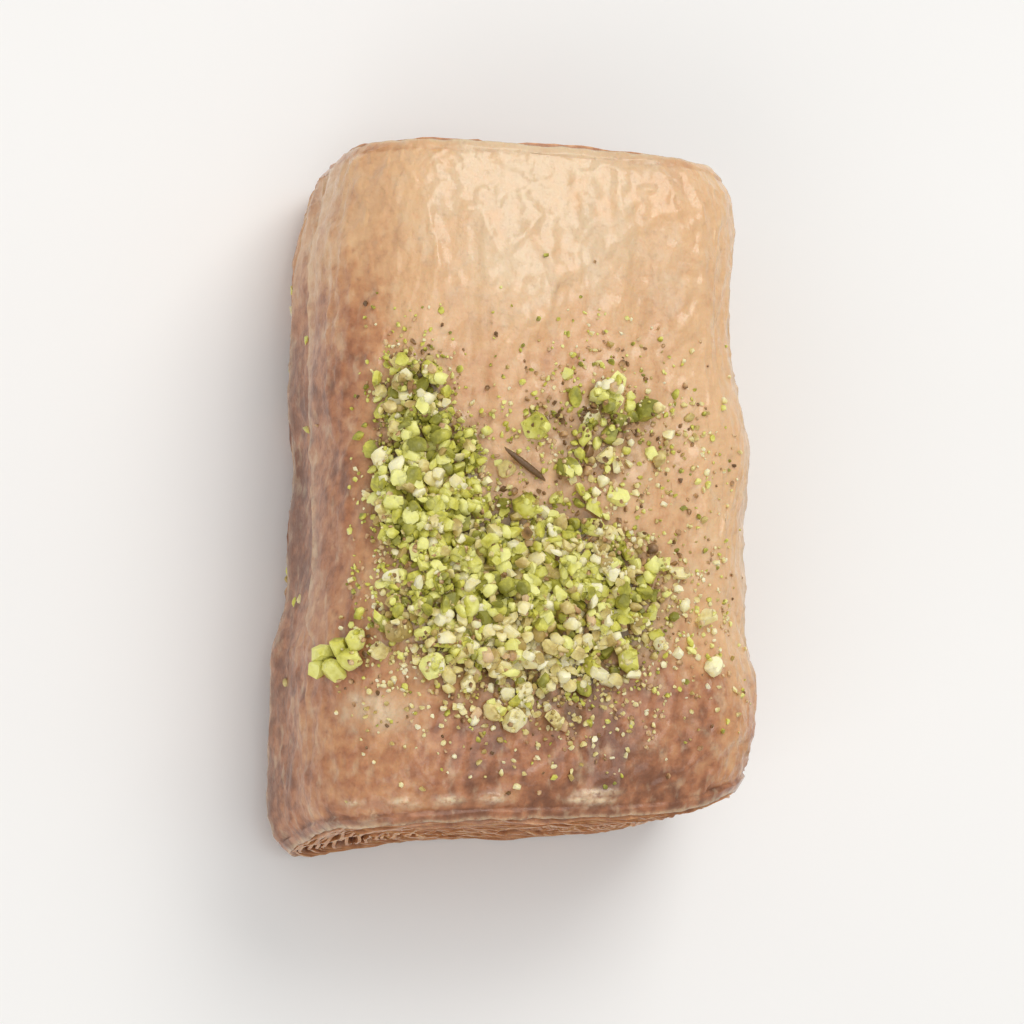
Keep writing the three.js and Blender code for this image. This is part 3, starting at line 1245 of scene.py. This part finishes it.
@dataclass
class CutLeaves:
    """The cut edges of the rolled sheets: thin leaves that stand inside the rim of both ends."""

    parcel: Parcel
    body: PastryBody
    leaf_count: int = 17
    path_points: int = 128
    depth_rows: int = 4
    first_inset: float = 1.2
    pitch: float = 0.52
    thickness: float = 0.24
    outer_roundness: float = 4.4
    inner_roundness: float = 2.5
    round_after: int = 9
    narrowing: float = 1.12
    root_depth: float = 0.5
    standing: float = 0.7
    seed: int = 300

    def build(self) -> bpy.types.Object:
        """Returns all leaves of both ends as one mesh that carries reach and shade."""
        numbers = range(self.leaf_count)
        leaves = [self._leaf(number, side) for side in (-1.0, 1.0) for number in numbers]
        piece = join(leaves, "cut_leaves")
        smooth(piece, 50)
        return piece

    def _leaf(self, number: int, side: float) -> bpy.types.Object:
        """Models one leaf as a closed strip round the roll, and gives it its thickness.

        Args:
            number: the leaf's number from the rim inwards.
            side: -1 at the front end and 1 at the back end.

        Returns:
            The leaf.
        """
        deselect_all()
        bpy.ops.mesh.primitive_circle_add(vertices=self.path_points, radius=1.0)
        piece = bpy.context.active_object
        bpy.ops.object.mode_set(mode="EDIT")
        bpy.ops.mesh.select_all(action="SELECT")
        for _ in range(self.depth_rows - 1):
            bpy.ops.mesh.extrude_region_move(TRANSFORM_OT_translate={"value": (0.0, 0.0, 1.0)})
        bpy.ops.object.mode_set(mode="OBJECT")
        strip = points_of(piece)
        reach = strip[:, 2] / (self.depth_rows - 1)
        around = np.arctan2(strip[:, 1], strip[:, 0])
        set_points(piece, self.body.settle(self._places(around, reach, number, side)) * MM)
        shade = Draw(self.seed + 17 * number + int(side) + 5)()
        store(piece, "reach", reach)
        store(piece, "shade", np.full(len(strip), shade))
        thicken(piece, self.thickness)
        return piece

    def _places(
        self, around: np.ndarray, reach: np.ndarray, number: int, side: float
    ) -> np.ndarray:
        """Works out where a leaf's points lie.

        Args:
            around: angles round the roll.
            reach: from 0 at the leaf's root to 1 at its cut edge.
            number: the leaf's number from the rim inwards.
            side: -1 at the front end and 1 at the back end.

        Returns:
            Points in millimetres, in the parcel's own frame.
        """
        own = self.seed + 40 * number + int(side) * 7
        turn = np.stack([np.cos(around), np.sin(around)])
        depth = min(1.0, number / self.round_after)
        roundness = mix(self.outer_roundness, self.inner_roundness, depth)
        oval = turn / (abs(turn) ** roundness).sum(axis=0) ** (1 / roundness)
        flat = np.stack([oval[0] * 12, np.full(len(around), side * 9.0), oval[1] * 8], axis=-1)
        lean = 0.3 * reach * lumps(flat, (4.0, 4.0, 4.0), 2, own)
        drift = mix(0.12, 0.26, min(1.0, number / 4)) * lumps(flat, (6.0, 6.0, 6.0), 2, own + 1)
        inset = self.first_inset + self.pitch * number + drift + lean
        half_width, half_height = self.parcel.width / 2, self.parcel.height / 2
        sideways = oval[0] * (1 - self.narrowing * inset / half_width)
        upwards = oval[1] * (1 - inset / half_height)
        across, up = self.parcel.cell(sideways, upwards)
        points = self.parcel.skin(across, np.full(len(around), side), up)
        sway = smoothstep(inset, 0.8, 3.0) * 0.5
        points[:, 0] += sway * lumps(points, (8.0, 8.0, 6.0), 2, self.seed + 1)
        points[:, 2] += sway * lumps(points, (9.0, 9.0, 6.0), 2, self.seed + 2)
        ragged = 0.45 * lumps(flat, (2.6, 2.6, 2.6), 3, own + 2)
        broken = smoothstep(lumps(flat, (3.2, 3.2, 3.2), 2, own + 3), -0.55, -0.3)
        height = np.minimum(self.standing * (0.5 + 0.5 * broken + ragged), 1.0)
        points[:, 1] += side * (mix(-self.root_depth, height, reach) - self.body.rim_recess)
        points[:, 2] = np.maximum(points[:, 2], 0.3)
        return points


# ---- Ground pistachio -------------------------------------------------------------------


@dataclass(frozen=True)
class Sprinkle:
    """One soft-edged patch of pistachio on the top: its middle, its reach and its share."""

    x: float
    y: float
    reach_x: float
    reach_y: float
    share: float

    def cover(self, x: np.ndarray | float, y: np.ndarray | float) -> np.ndarray:
        """Returns how thickly the pistachio lies at plan places."""
        return self.share * hill((x - self.x) / self.reach_x, (y - self.y) / self.reach_y)


SPRINKLES = (
    Sprinkle(-2.8, -9.8, 9.5, 6.6, 1.4),
    Sprinkle(-10.2, -2, 4.2, 5.8, 1.3),
    Sprinkle(-11.4, 4.4, 2.8, 4.2, 0.95),
    Sprinkle(3.2, 6.2, 1.2, 1.1, 1.3),
    Sprinkle(2.5, 2.6, 7, 5.5, 0.46),
    Sprinkle(-3, -17.4, 9, 2.8, 0.45),
)


@dataclass(frozen=True)
class Master:
    """One broken bit that many grains are copied from, about 1 in radius."""

    points: np.ndarray
    faces: tuple[tuple[int, ...], ...]


@dataclass(frozen=True)
class Grain:
    """One bit of pistachio. Its master, turn and shade are drawn unless they are given."""

    spot: Vector
    radius: float
    kind: NutKind
    master: Master | None = None
    stretch: Triple = (1.0, 1.0, 1.0)
    turn: Triple | None = None
    shade: float | None = None


@dataclass(frozen=True)
class Crumb:
    """One bit of the clump on the left shoulder: its place on the cube, its size and its shade."""

    along: float
    up: float
    radius: float
    shade: float


@dataclass(frozen=True)
class Grind:
    """One fineness of the ground pistachio."""

    count: int
    largest: float
    smallest: float
    fineness: float
    sharpness: float
    spacing: float
    rise: float
    seed: int
    trials: int
    facets: int


DOWN = Vector((0, 0, -1))
ABOVE = Vector((0, 0, 40))
COARSE = Grind(160, 1.2, 0.6, 0.6, 3.0, 0.74, 0.42, 4711, 9000, 2)
MEDIUM = Grind(860, 0.74, 0.3, 0.6, 3.4, 0.44, 0.3, 812, 36000, 2)
FINE = Grind(4600, 0.32, 0.1, 0.5, 0.9, 0.34, 0.3, 2903, 70000, 1)


@dataclass
class GroundPistachio:
    """All the ground pistachio: one joined mesh for each kind."""

    parcel: Parcel
    body: PastryBody
    ground: BVHTree
    across_share: float = 1.1
    along_share: float = 0.92
    shoulder_fall: float = 2.5
    side_grains: int = 34
    side_seed: int = 5150
    box_gap: float = 0.05
    master_count: int = 12
    two_tone: float = 0.3
    cluster_size: float = 3.0
    cluster_shade: float = 0.55
    clump: tuple[Crumb, ...] = (
        Crumb(-0.47, 0.95, 0.92, 0.85),
        Crumb(-0.512, 0.9, 1.0, 0.7),
        # The middle bit is darker: painted shade in the hollow between the lobes.
        Crumb(-0.482, 0.82, 0.8, 0.35),
        Crumb(-0.492, 0.68, 0.95, 0.85),
        Crumb(-0.535, 0.74, 1.0, 0.5),
        Crumb(-0.53, 0.62, 0.8, 0.65),
    )
    clump_way: Triple = (-0.75, 0.0, 0.65)
    sliver_spot: tuple[float, float] = (-3.2, 0.5)
    sliver_turn: float = -0.62
    sliver_radius: float = 2.1
    sliver_rise: float = 0.25
    sliver_stretch: Triple = (1.0, 0.13, 0.12)
    sliver_shade: float = -1.0
    low: np.ndarray = field(init=False)
    high: np.ndarray = field(init=False)
    heap: BVHTree | None = field(init=False, default=None)
    masters: dict[int, list[Master]] = field(init=False)
    corner_reach: float = field(init=False)
    splinter: Master = field(init=False)

    def build(self) -> list[bpy.types.Object]:
        """Returns one piece for each kind of pistachio bit."""
        low, high = (np.array(corner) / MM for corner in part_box("pastry"))
        self.low, self.high = low + self.box_gap, high - self.box_gap
        self.masters = {facets: self._masters(facets) for facets in (1, 2)}
        bits = self.masters[1] + self.masters[2]
        self.corner_reach = max(np.linalg.norm(bit.points, axis=1).max() for bit in bits)
        self.splinter = self._evened(self._master(0, 2, 0))
        coarse = self._on_top(COARSE) + self._on_shoulder()
        heap_points, heap_faces, _ = self._shaped(coarse)
        self.heap = BVHTree.FromPolygons(heap_points, heap_faces)
        grains = coarse + self._on_top(MEDIUM) + self._on_top(FINE) + self._on_sides()
        grains.append(self._sliver())
        return [self._joined(kind, [g for g in grains if g.kind is kind]) for kind in NutKind]

    def _on_top(self, grind: Grind) -> list[Grain]:
        """Places one fineness on the top, largest first.

        Args:
            grind: the fineness.

        Returns:
            Its grains.
        """
        draw = Draw(grind.seed)
        chooser = Draw(grind.seed + 7)
        taken: list[tuple[Vector, float]] = []
        grains: list[Grain] = []
        for _ in range(grind.trials):
            if len(taken) == grind.count:
                break
            across = self.across_share * draw.between(-1, 1)
            along = self.along_share * draw.between(-1, 1)
            up = 1 - self.shoulder_fall * max(0.0, abs(across) - 1)
            cell = (np.array([value]) for value in (min(1.0, max(-1.0, across)), along, up))
            spot = Vector(self.parcel.skin(*cell)[0])
            cover = min(1.0, max(float(patch.cover(spot.x, spot.y)) for patch in SPRINKLES))
            wanted = draw() < cover**grind.sharpness
            size = (len(taken) / grind.count) ** grind.fineness
            radius = mix(grind.largest, grind.smallest, size)
            apart = all((spot - other).length > grind.spacing * (r + radius) for other, r in taken)
            if not (wanted and apart):
                continue
            taken.append((spot, radius))
            place = self._landed(spot, DOWN, ABOVE)
            chance = chooser()
            if place is None:
                continue
            place.z = min(place.z + radius * grind.rise, self.high[2] - radius * self.corner_reach)
            grains.append(Grain(place, radius, self._kind(spot, radius, chance)))
        return grains

    def _on_shoulder(self) -> list[Grain]:
        """Places the clump of bits that stick together on the left shoulder."""
        grains: list[Grain] = []
        for crumb in self.clump:
            cell = (np.array([value]) for value in (-1.0, crumb.along, crumb.up))
            spot = Vector(self.body.settle(self.parcel.skin(*cell)[0]))
            place = spot + Vector(self.clump_way) * COARSE.rise * crumb.radius
            grains.append(Grain(place, crumb.radius, NutKind.GREEN, shade=crumb.shade))
        return grains

    def _on_sides(self) -> list[Grain]:
        """Places a few bits that stuck low on the sides."""
        draw = Draw(self.side_seed)
        grains: list[Grain] = []
        for _ in range(self.side_grains):
            side = -1.0 if draw() < 0.6 else 1.0
            start = Vector((0, draw.between(-22, 20), draw.between(0.8, 9) ** 1.15))
            radius = draw.between(0.22, 0.6)
            chance = draw()
            away = Vector((side * CLEAR_OF_SIDES, 0, 0))
            place = self._landed(start, Vector((-side, 0, 0)), away)
            if place is None:
                continue
            place.x -= side * radius * 0.3
            reach = radius * self.corner_reach
            spot = np.array(place)
            if np.all(spot - reach > self.low) and np.all(spot + reach < self.high):
                grains.append(Grain(place, radius, self._kind(start, radius, chance)))
        return grains

    def _sliver(self) -> Grain:
        """Places the dark sliver of skin that lies across the thin scatter."""
        turn = self.sliver_turn
        middle = Vector((*self.sliver_spot, 0.0))
        half = 0.8 * self.sliver_radius * Vector((math.cos(turn), math.sin(turn), 0.0))
        landed = [self._landed(middle + half * share, DOWN, ABOVE) for share in (-1, 0, 1)]
        place = landed[1].copy()
        place.z = max(spot.z for spot in landed) + self.sliver_rise
        return Grain(
            place,
            self.sliver_radius,
            NutKind.SKIN,
            self.splinter,
            self.sliver_stretch,
            (0.0, 0.0, turn),
            self.sliver_shade,
        )

    def _landed(self, spot: Vector, way: Vector, away: Vector) -> Vector | None:
        """Finds where a line to a spot meets the pastry or the heap.

        Args:
            spot: a place of the parcel's formula, in millimetres.
            way: which way the line runs.
            away: how far from the spot it starts, in millimetres.

        Returns:
            The place in millimetres, or None where the line meets nothing.
        """
        start = Vector(self.body.settle(np.array(spot))) + away
        casts = [tree.ray_cast(start * MM, way) for tree in (self.ground, self.heap) if tree]
        hits = [hit for hit in casts if hit[0] is not None]
        nearest = min(hits, key=lambda hit: hit[3], default=None)
        return None if nearest is None else nearest[0] / MM

    @staticmethod
    def _kind(spot: Vector, radius: float, chance: float) -> NutKind:
        """Chooses a kind: greener at the left, creamier at the front, skins in the scatter.

        Args:
            spot: where the bit lies.
            radius: its size.
            chance: a draw from 0 to 1.

        Returns:
            The bit's kind.
        """
        green = 0.72 if spot.x < 2 and spot.y > -11 else 0.4
        green += 0.5 * float(hill((spot.x - 3.2) / 2.2, (spot.y - 6.2) / 2.2))
        green -= 0.25 * float(smoothstep(-spot.y, 12, 18))
        scatter = float(hill((spot.x - 3) / 5, (spot.y - 3) / 4))
        skin = 0.0 if radius > 0.6 else 0.04 + 0.3 * scatter + (0.2 if radius < 0.3 else 0.0)
        if chance < skin:
            return NutKind.SKIN
        return NutKind.GREEN if chance < skin + green * (1 - skin) else NutKind.CREAM

    def _masters(self, facets: int) -> list[Master]:
        """Models the broken bits of one fineness."""
        return [self._master(number, facets) for number in range(self.master_count)]

    @staticmethod
    def _evened(bit: Master) -> Master:
        """Returns a bit that is 1 in radius along each axis, so a stretch gives its half sizes."""
        return Master(bit.points / abs(bit.points).max(axis=0), bit.faces)

    @staticmethod
    def _master(number: int, facets: int, flats: int = 6) -> Master:
        """Models one broken bit: a lumpy ball with a few flats struck off.

        Args:
            number: picks the bit's own shape.
            facets: how finely the ball is divided.
            flats: how many flats are struck off.

        Returns:
            The bit, about 1 in radius.
        """
        draw = Draw(600 + number * 37 + facets)
        deselect_all()
        bpy.ops.mesh.primitive_ico_sphere_add(subdivisions=facets, radius=1.0)
        piece = bpy.context.active_object
        bpy.ops.object.mode_set(mode="EDIT")
        for _ in range(flats):
            way = Vector([draw.between(-1, 1) for _ in range(3)]).normalized()
            plane = {"plane_co": way * draw.between(0.4, 0.75), "plane_no": way}
            bpy.ops.mesh.select_all(action="SELECT")
            bpy.ops.mesh.bisect(use_fill=True, clear_outer=True, **plane)
        bpy.ops.mesh.select_all(action="SELECT")
        bpy.ops.mesh.remove_doubles(threshold=0.12)
        bpy.ops.mesh.normals_make_consistent(inside=False)
        bpy.ops.object.mode_set(mode="OBJECT")
        points = points_of(piece)
        points *= (1 + 0.2 * lumps(points * 10, (8.0, 8.0, 8.0), 2, number))[:, None]
        stretch = np.array([draw.between(0.62, 1.3) for _ in range(3)])
        points = (points - points.mean(axis=0)) * stretch
        faces = tuple(tuple(face.vertices) for face in piece.data.polygons)
        bpy.data.objects.remove(piece)
        return Master(points / np.linalg.norm(points, axis=1).mean() * 0.95, faces)

    def _shaped(
        self, grains: list[Grain]
    ) -> tuple[np.ndarray, list[tuple[int, ...]], np.ndarray]:
        """Shapes grains from the masters.

        Args:
            grains: what to shape.

        Returns:
            Their points in metres, their faces and a shade for each point.
        """
        first = 0
        points: list[np.ndarray] = []
        faces: list[tuple[int, ...]] = []
        shades: list[np.ndarray] = []
        for grain in grains:
            draw = Draw(1 + int(abs(grain.spot.x * 7919 + grain.spot.y * 104729) * 10))
            draw()
            fine = grain.radius < FINE.largest
            sort = self.masters[FINE.facets if fine else MEDIUM.facets]
            master = grain.master or sort[int(draw() * self.master_count)]
            angles = grain.turn or [draw() * math.tau for _ in range(3)]
            turn = np.array(Euler(angles).to_matrix())
            shape = master.points * np.array(grain.stretch) * grain.radius
            points.append(shape @ turn.T + np.array(grain.spot))
            faces += [tuple(v + first for v in face) for face in master.faces]
            shade = grain.shade
            if shade is None:
                cluster = self.cluster_shade * noise.noise(grain.spot / self.cluster_size)
                # Fine bits are darker: painted shade for the gaps of the heap that they fill.
                shade = draw.between(0.05, 0.75 if fine else 1.05) + cluster
            shades.append(shade + self.two_tone * master.points[:, 0])
            first += len(shape)
        return np.concatenate(points) * MM, faces, np.concatenate(shades)

    def _joined(self, kind: NutKind, grains: list[Grain]) -> bpy.types.Object:
        """Joins all bits of a kind into one mesh that carries each one's shade.

        Args:
            kind: the kind.
            grains: its grains.

        Returns:
            The joined piece.
        """
        points, faces, shades = self._shaped(grains)
        mesh = bpy.data.meshes.new(kind.value.name)
        mesh.from_pydata(points, [], faces)
        piece = bpy.data.objects.new(kind.value.name, mesh)
        bpy.context.collection.objects.link(piece)
        store(piece, "shade", shades)
        smooth(piece, 48)
        return piece


# ---- Studio -----------------------------------------------------------------------------


@dataclass(frozen=True)
class Softbox:
    """An area light that looks at the piece."""

    name: str
    place: Triple
    size: float
    power: float
    colour: Colour = (1.0, 1.0, 1.0)

    def build(self) -> None:
        """Adds the light."""
        data = bpy.data.lights.new(self.name, "AREA")
        data.size = self.size
        data.energy = self.power
        data.color = self.colour
        lamp = bpy.data.objects.new(self.name, data)
        lamp.location = self.place
        lamp.rotation_euler = (-Vector(self.place)).to_track_quat("-Z", "Y").to_euler()
        bpy.context.collection.objects.link(lamp)


@dataclass
class Studio:
    """Pale floor, soft light and the camera."""

    floor_size: float = 1.6
    floor_greys: tuple[float, float] = (0.86, 0.9)
    air: Colour = (0.98, 0.97, 0.95)
    air_strength: float = 0.5
    camera_way: Triple = (-0.3, -0.158, 0.941)
    camera_distance: float = 0.30
    lens: float = 138.0
    aim: Triple = (-0.001, -0.0005, 0.011)
    lights: tuple[Softbox, ...] = (
        Softbox("key_light", (0.22, 0.42, 0.55), 0.42, 2.3, (1.0, 0.97, 0.92)),
        Softbox("fill_light", (-0.45, -0.5, 0.42), 0.6, 1.6, (1.0, 0.98, 0.95)),
        Softbox("top_light", (0.0, 0.0, 0.8), 0.5, 1.15),
    )

    def build(self) -> None:
        """Adds the floor, the lights, the world and the camera."""
        deselect_all()
        bpy.ops.mesh.primitive_plane_add(size=self.floor_size)
        floor = bpy.context.active_object
        floor.name = "floor"
        graph = Graph("floor_finish")
        dark, light = ((grey, grey, grey) for grey in self.floor_greys)
        tint = graph.blend(dark, light, graph.clouds(40.0))
        floor.data.materials.append(graph.finish({"Base Color": tint, "Roughness": 0.8}))
        for light in self.lights:
            light.build()
        world = bpy.data.worlds.new("studio")
        world.use_nodes = True
        background = world.node_tree.nodes["Background"]
        background.inputs["Color"].default_value = (*self.air, 1.0)
        background.inputs["Strength"].default_value = self.air_strength
        bpy.context.scene.world = world
        bpy.context.scene.view_settings.view_transform = "Standard"
        self._camera()

    def _camera(self) -> None:
        """Adds the camera, turned so that the piece's long axis stands upright in the view."""
        data = bpy.data.cameras.new("camera")
        data.lens = self.lens
        data.clip_start = 0.01
        back = Vector(self.camera_way).normalized()
        right = Vector((0, 1, 0)).cross(back).normalized()
        upright = back.cross(right)
        camera = bpy.data.objects.new("camera", data)
        turn = Matrix((right, upright, back)).transposed().to_4x4()
        place = Vector(self.aim) + back * self.camera_distance
        camera.matrix_world = Matrix.Translation(place) @ turn
        bpy.context.collection.objects.link(camera)
        bpy.context.scene.camera = camera


def main() -> None:
    """Builds the piece, dresses it and sets up the studio."""
    logging.basicConfig(level=logging.INFO, format="%(name)s: %(message)s")
    parcel = Parcel()
    body = PastryBody(parcel)
    pastry = body.build()
    dress(pastry, FiloFinish().material())
    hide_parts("pastry")
    ground = tree_of(pastry)
    loose = FiloFinish("loose_filo_finish", Gloss(0.04, WARM, 1.4, 0.66, 0.15))
    dress(LooseSheets(parcel, body, ground).build(), loose.material())
    dress(CutLeaves(parcel, body).build(), LeafFinish().material())
    for nut in GroundPistachio(parcel, body, ground).build():
        kind = next(k for k in NutKind if k.value.name == nut.name)
        dress(nut, kind.value.material())
    Studio().build()


if __name__ == "__main__":
    main()
